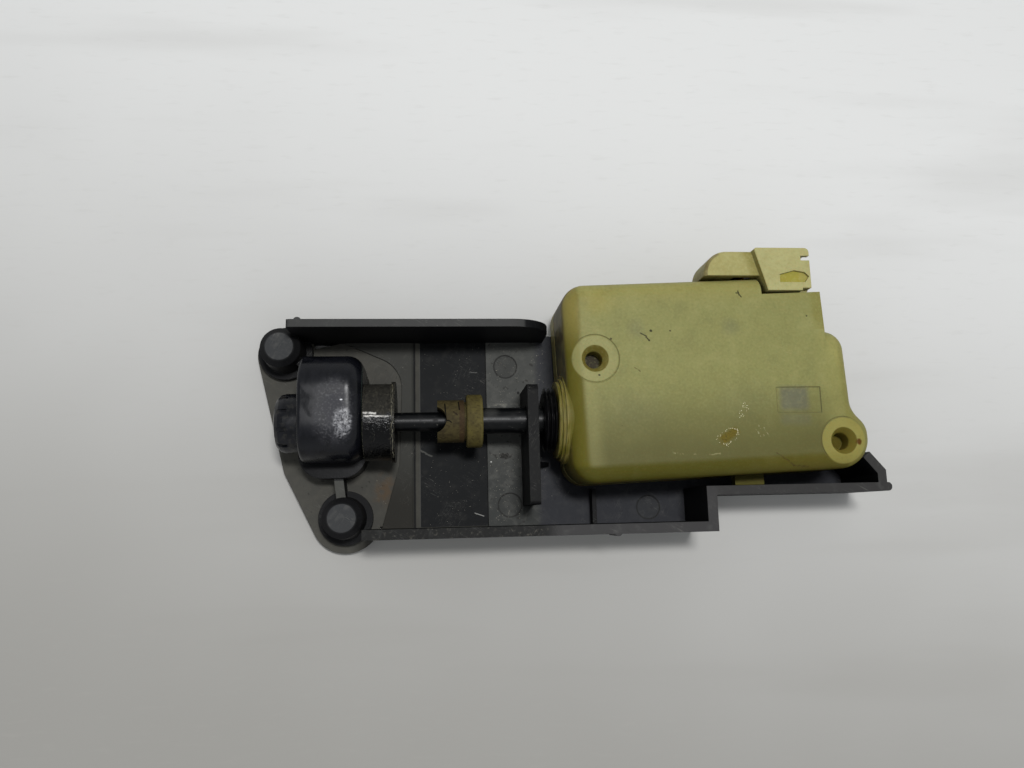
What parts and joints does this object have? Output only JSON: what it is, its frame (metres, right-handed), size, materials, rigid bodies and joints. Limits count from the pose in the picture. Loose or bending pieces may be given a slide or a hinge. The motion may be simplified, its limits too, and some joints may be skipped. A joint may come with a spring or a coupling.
{
  "type": "fuel flap lock actuator",
  "caption": "Motor-driven lock pin on a moulded bracket: a geared unit in a nylon housing slides the pin across a latch pocket to hold a fuel flap.",
  "frame": {"origin": "midway between the two panel screws on the mounting face", "axes": "+X along the lock pin towards the motor unit, -Z out of the mounting face towards the body panel, +Y towards the connector"},
  "size_m": [0.172, 0.079, 0.03],
  "materials": {
    "bracket_black": "moulded, dusty",
    "cap_gloss": "glossy, greasy",
    "bush_grey": "worn, greasy",
    "pin_black": "semi-gloss",
    "sleeve_tan": "aged, cracked, dirty",
    "gear_white": "natural acetal",
    "brass_worm": "machined",
    "steel": "ground",
    "steel_screw": "zinc plated",
    "steel_dark": "lacquered laminations",
    "nylon_pale": "glass-filled nylon, semi-translucent",
    "nylon_amber": "glass-filled nylon, aged",
    "rubber_black": "satin",
    "plastic_white": "moulded",
    "bronze": "sintered",
    "magnet": "ferrite",
    "tin": "tinned"
  },
  "bodies": {
    "bracket_and_housing": {"bracket": "bracket_black", "pocket_cap": "cap_gloss", "pin_tip_socket": "cap_gloss", "pin_guide_bush": "bush_grey", "gear_axle": "steel", "actuator_base": "nylon_pale", "actuator_cover": "nylon_amber", "cover_gasket": "rubber_black", "housing_screws": "steel_screw", "dust_boot": "rubber_black", "rod_seal": "rubber_black", "stop_buffers": "rubber_black", "motor_can": "steel", "motor_end_cap": "plastic_white", "motor_bearings": "bronze", "motor_magnets": "magnet", "motor_brushes": "magnet", "worm_bearing": "bronze", "terminal_blades": "tin", "contact_strips": "bronze"},
    "rotor": {"rotor_shaft": "steel", "armature": "steel_dark", "commutator": "bronze", "worm": "brass_worm"},
    "gear": {"worm_wheel": "gear_white", "drive_pinion": "gear_white"},
    "plunger": {"plunger_rack": "pin_black", "coupling_sleeve": "sleeve_tan", "lock_pin": "pin_black"}
  },
  "joints": [
    {"name": "motor_spin", "type": "hinge", "parent": "bracket_and_housing", "child": "rotor", "pos_m": [0.095, 0.0219, 0.019], "axis": [1, 0, 0], "range_deg": [-3058, 3436]},
    {"name": "wheel_spin", "type": "hinge", "parent": "bracket_and_housing", "child": "gear", "pos_m": [0.1169, 0.0105, 0.019], "axis": [0, 0, 1], "range_deg": [-127.43, 143.18]},
    {"name": "pin_travel", "type": "slide", "parent": "bracket_and_housing", "child": "plunger", "axis": [-1, 0, 0], "range_m": [-0.01, 0.0089]}
  ],
  "couplings": [
    {"joint": "wheel_spin", "follows": "motor_spin", "ratio": 0.041667},
    {"joint": "pin_travel", "follows": "motor_spin", "m_per_rad": -0.00016667}
  ]
}
